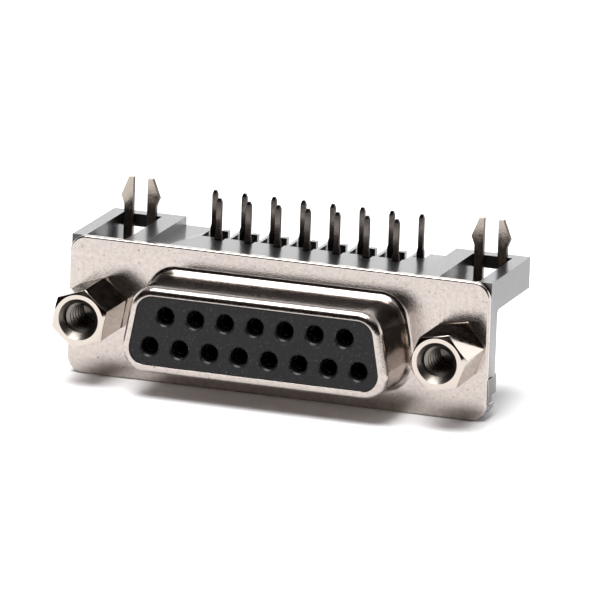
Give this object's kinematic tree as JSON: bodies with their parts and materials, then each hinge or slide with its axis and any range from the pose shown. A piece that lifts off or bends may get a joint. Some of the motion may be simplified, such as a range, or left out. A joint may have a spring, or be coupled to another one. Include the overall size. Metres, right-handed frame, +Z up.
{
  "type": "right-angle d-sub connector socket",
  "caption": "Right-angle D-shaped socket connector with a nickel flange, hexagonal jack screws, board locks and solder tails pointing up.",
  "frame": {"origin": "middle of the flange's front face, on the axis of the D-shaped collar", "axes": "+X to the right seen from the plug's side, +Y back from the flange towards the tails, +Z up towards the circuit board"},
  "size_m": [0.0392, 0.0171, 0.016],
  "materials": {
    "nickel_shell": "nickel plated drawn steel, semi-matt",
    "black_plastic": "moulded glass-filled PBT, satin",
    "nickel_screw": "nickel plated steel, bright",
    "tinned_bronze": "tinned phosphor bronze, semi-bright",
    "tinned_contact": "tinned copper alloy, bright"
  },
  "bodies": {
    "root": {"front_shell": "nickel_shell", "front_insulator": "black_plastic", "housing": "black_plastic", "jackscrew_left": "nickel_screw", "jackscrew_right": "nickel_screw", "board_lock_left": "tinned_bronze", "board_lock_right": "tinned_bronze", "contact_1": "tinned_contact", "contact_2": "tinned_contact", "contact_3": "tinned_contact", "contact_4": "tinned_contact", "contact_5": "tinned_contact", "contact_6": "tinned_contact", "contact_7": "tinned_contact", "contact_8": "tinned_contact", "contact_9": "tinned_contact", "contact_10": "tinned_contact", "contact_11": "tinned_contact", "contact_12": "tinned_contact", "contact_13": "tinned_contact", "contact_14": "tinned_contact", "contact_15": "tinned_contact"}
  },
  "joints": []
}
